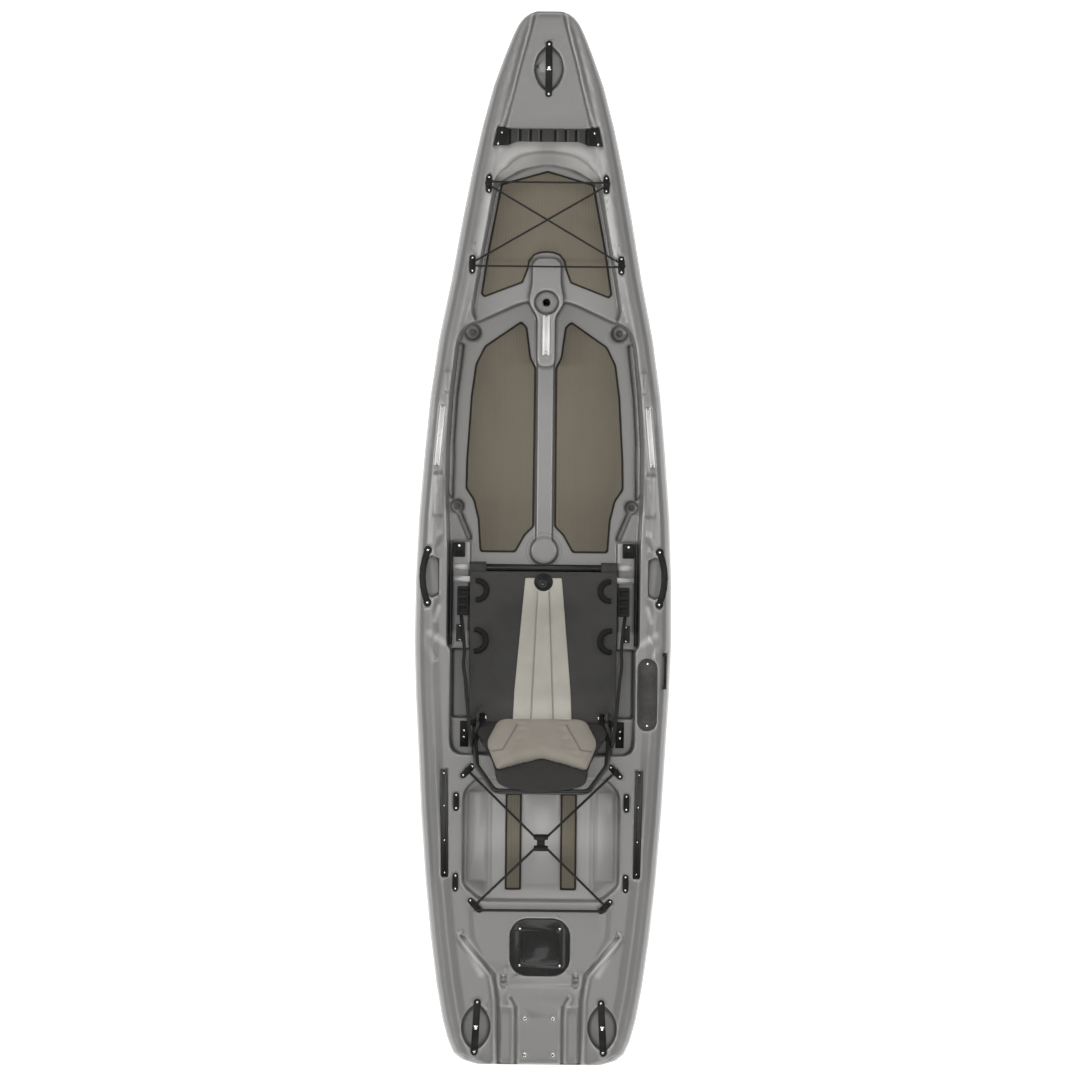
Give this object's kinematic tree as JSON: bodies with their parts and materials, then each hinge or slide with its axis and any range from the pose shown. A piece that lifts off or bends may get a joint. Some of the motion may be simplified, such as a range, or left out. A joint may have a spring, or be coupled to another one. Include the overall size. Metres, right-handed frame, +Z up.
{
  "type": "fishing kayak",
  "caption": "Sit-on-top fishing kayak with a hollow moulded hull, wells, gear tracks, bungees, carry handles, a screwed hatch and a lift-out framed seat with a folding backrest.",
  "frame": {"origin": "centre of the footprint on the ground under the hull", "axes": "+Z up, +Y towards the bow, +X starboard"},
  "size_m": [0.912, 3.734, 0.6216],
  "materials": {
    "hull": "satin, moulded polyethylene, mid grey",
    "eva_pad": "matt closed-cell foam, taupe",
    "black_plastic": "matt black nylon",
    "grey_plastic": "matt dark grey nylon",
    "gloss_black": "near-black, glossy",
    "aluminium": "clear anodised",
    "black_metal": "black powder coat",
    "steel": "stainless fasteners",
    "bungee": "black braided elastic cord",
    "mesh": "charcoal mesh",
    "panel": "pale grey woven panel",
    "back_cloth": "warm grey padded cloth",
    "gasket": "black foam rubber",
    "webbing": "black webbing"
  },
  "bodies": {
    "hull": {"hull": "hull", "front_pad": "eva_pad", "foot_pad_left": "eva_pad", "foot_pad_right": "eva_pad", "tank_pads": "eva_pad", "centre_track": "aluminium", "gunwale_tracks": "aluminium", "rear_tracks": "black_metal", "track_screws": "steel", "bow_handle": "black_plastic", "stern_handles": "black_plastic", "side_handles": "black_plastic", "handle_bolts": "steel", "cross_bar": "grey_plastic", "cross_bar_brackets": "black_plastic", "cross_bar_screws": "steel", "front_pad_eyes": "black_plastic", "rear_pad_eyes": "black_plastic", "corner_pad_eyes": "black_plastic", "pad_eye_rivets": "steel", "front_bungee": "bungee", "rear_bungee": "bungee", "bungee_hook": "black_plastic", "hatch_gasket": "gasket", "pocket_liner": "grey_plastic", "pocket_screws": "steel", "paddle_keeper": "black_plastic", "stern_inserts": "steel", "drain_seat": "black_plastic", "seat_keepers": "black_plastic", "side_latches": "grey_plastic", "ledge_screws": "steel"},
    "seat": {"seat_frame": "black_metal", "front_tube": "black_metal", "seat_clamps": "grey_plastic", "seat_arms": "aluminium", "seat_feet": "black_plastic", "foot_rivets": "steel", "seat_sling": "mesh", "seat_centre_panel": "panel", "sling_plate": "black_plastic", "seat_buckles": "black_plastic", "seat_loops": "webbing", "hinge_plates": "black_metal", "hinge_pins": "steel", "back_straps": "webbing"},
    "backrest": {"back_frame": "black_metal", "back_fabric": "mesh", "back_pad": "back_cloth"},
    "hatch": {"hatch_cover": "gloss_black", "hatch_screws": "steel"},
    "plug": {"drain_plug": "black_plastic"}
  },
  "joints": [
    {"name": "seat_lift", "type": "slide", "parent": "hull", "child": "seat", "axis": [0, 0, 1], "range_m": [0, 0.18]},
    {"name": "backrest_fold", "type": "hinge", "parent": "seat", "child": "backrest", "pos_m": [0, -0.636, 0.256], "axis": [1, 0, 0], "range_deg": [-90, 8]},
    {"name": "hatch_lift", "type": "slide", "parent": "hull", "child": "hatch", "axis": [0, 0, 1], "range_m": [0, 0.06]},
    {"name": "plug_out", "type": "slide", "parent": "hull", "child": "plug", "axis": [0, -1, 0], "range_m": [0, 0.03]}
  ]
}
